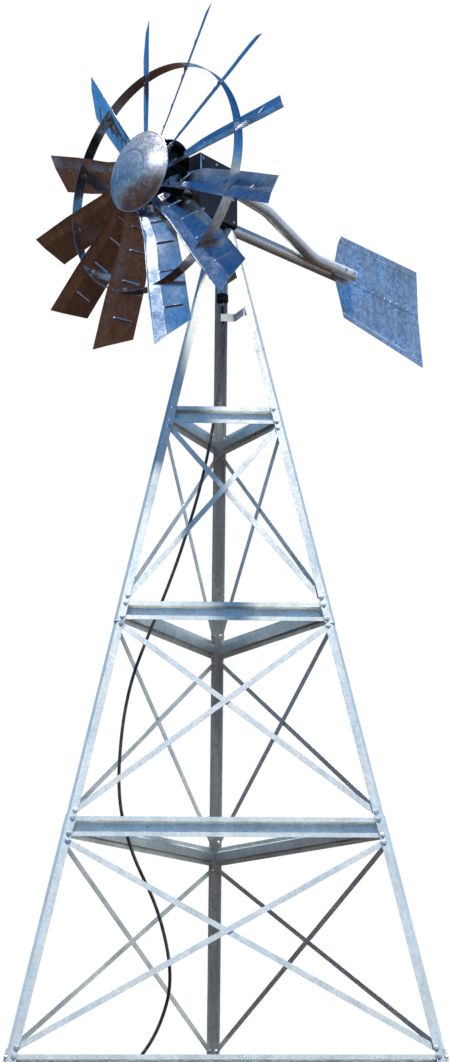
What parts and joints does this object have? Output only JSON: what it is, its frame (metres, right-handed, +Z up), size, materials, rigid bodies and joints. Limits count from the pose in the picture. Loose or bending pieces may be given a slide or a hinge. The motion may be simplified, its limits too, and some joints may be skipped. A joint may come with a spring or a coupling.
{
  "type": "garden windmill",
  "caption": "Three-legged galvanised lattice tower with a turning head, a multi-blade wheel, a tail vane and a crank-driven air pump with its hose",
  "frame": {"origin": "on the ground at the centre of the circle through the three anchor holes, under the mast", "axes": "+Z up along the mast, -Y towards the tower's front face, +X to the right seen from the front"},
  "size_m": [2.256, 2.2027, 5.1946],
  "materials": {
    "galvanised_frame": "satin",
    "galvanised_sheet": "satin",
    "galvanised_tube": "satin",
    "black_paint": "satin",
    "zinc_fasteners": "satin",
    "machined_steel": "polished",
    "diaphragm": "matte",
    "hose_plastic": "satin",
    "connector_brass": "satin"
  },
  "bodies": {
    "tower": {"air_hose": "hose_plastic", "air_hose_coil": "hose_plastic", "braces_panel1": "galvanised_frame", "braces_panel2": "galvanised_frame", "braces_panel3": "galvanised_frame", "foot_brackets": "galvanised_frame", "girt_level1_front": "galvanised_frame", "girt_level1_left": "galvanised_frame", "girt_level1_right": "galvanised_frame", "girt_level2_front": "galvanised_frame", "girt_level2_left": "galvanised_frame", "girt_level2_right": "galvanised_frame", "girt_level3_front": "galvanised_frame", "girt_level3_left": "galvanised_frame", "girt_level3_right": "galvanised_frame", "girt_level4_front": "galvanised_frame", "girt_level4_left": "galvanised_frame", "girt_level4_right": "galvanised_frame", "hose_bracket": "galvanised_frame", "hose_connector": "connector_brass", "leg_lower_left": "galvanised_frame", "leg_lower_rear": "galvanised_frame", "leg_lower_right": "galvanised_frame", "leg_middle_left": "galvanised_frame", "leg_middle_rear": "galvanised_frame", "leg_middle_right": "galvanised_frame", "leg_upper_left": "galvanised_frame", "leg_upper_rear": "galvanised_frame", "leg_upper_right": "galvanised_frame", "mast_collar": "black_paint", "mast_pipe": "galvanised_tube", "mast_plates": "galvanised_frame", "tower_bolts": "zinc_fasteners"},
    "head": {"head_frame": "black_paint", "head_cover": "black_paint", "shaft_bearings": "machined_steel", "pump_body": "black_paint", "tail_tube_straight": "galvanised_tube", "tail_tube_bent": "galvanised_tube", "vane_upper_sheet": "galvanised_sheet", "vane_lower_sheet": "galvanised_sheet"},
    "wheel": {"blade_01": "galvanised_sheet", "blade_02": "galvanised_sheet", "blade_03": "galvanised_sheet", "blade_04": "galvanised_sheet", "blade_05": "galvanised_sheet", "blade_06": "galvanised_sheet", "blade_07": "galvanised_sheet", "blade_08": "galvanised_sheet", "blade_09": "galvanised_sheet", "blade_10": "galvanised_sheet", "blade_11": "galvanised_sheet", "blade_12": "galvanised_sheet", "hub_disc": "black_paint", "nose_dome": "galvanised_sheet", "main_shaft": "machined_steel", "wheel_ring": "galvanised_sheet", "wheel_bolts": "zinc_fasteners"},
    "rod": {"connecting_rod": "machined_steel"},
    "diaphragm": {"diaphragm_plate": "diaphragm"}
  },
  "joints": [
    {"name": "head_yaw", "type": "hinge", "parent": "tower", "child": "head", "pos_m": [0, 0, 4.2], "axis": [0, 0, 1], "continuous": true},
    {"name": "wheel_spin", "type": "hinge", "parent": "head", "child": "wheel", "pos_m": [0, 0, 4.293], "axis": [-0.7373, -0.6756, 0], "continuous": true},
    {"name": "rod_turn", "type": "hinge", "parent": "wheel", "child": "rod", "pos_m": [-0.06464, -0.07008, 4.293], "axis": [-0.7373, -0.6756, 0], "continuous": true},
    {"name": "diaphragm_stroke", "type": "slide", "parent": "head", "child": "diaphragm", "axis": [0, 0, 1], "range_m": [-0.008, 0.008], "stiffness_N_per_m": 2000}
  ],
  "couplings": [
    {"joint": "rod_turn", "follows": "wheel_spin", "ratio": -1}
  ]
}
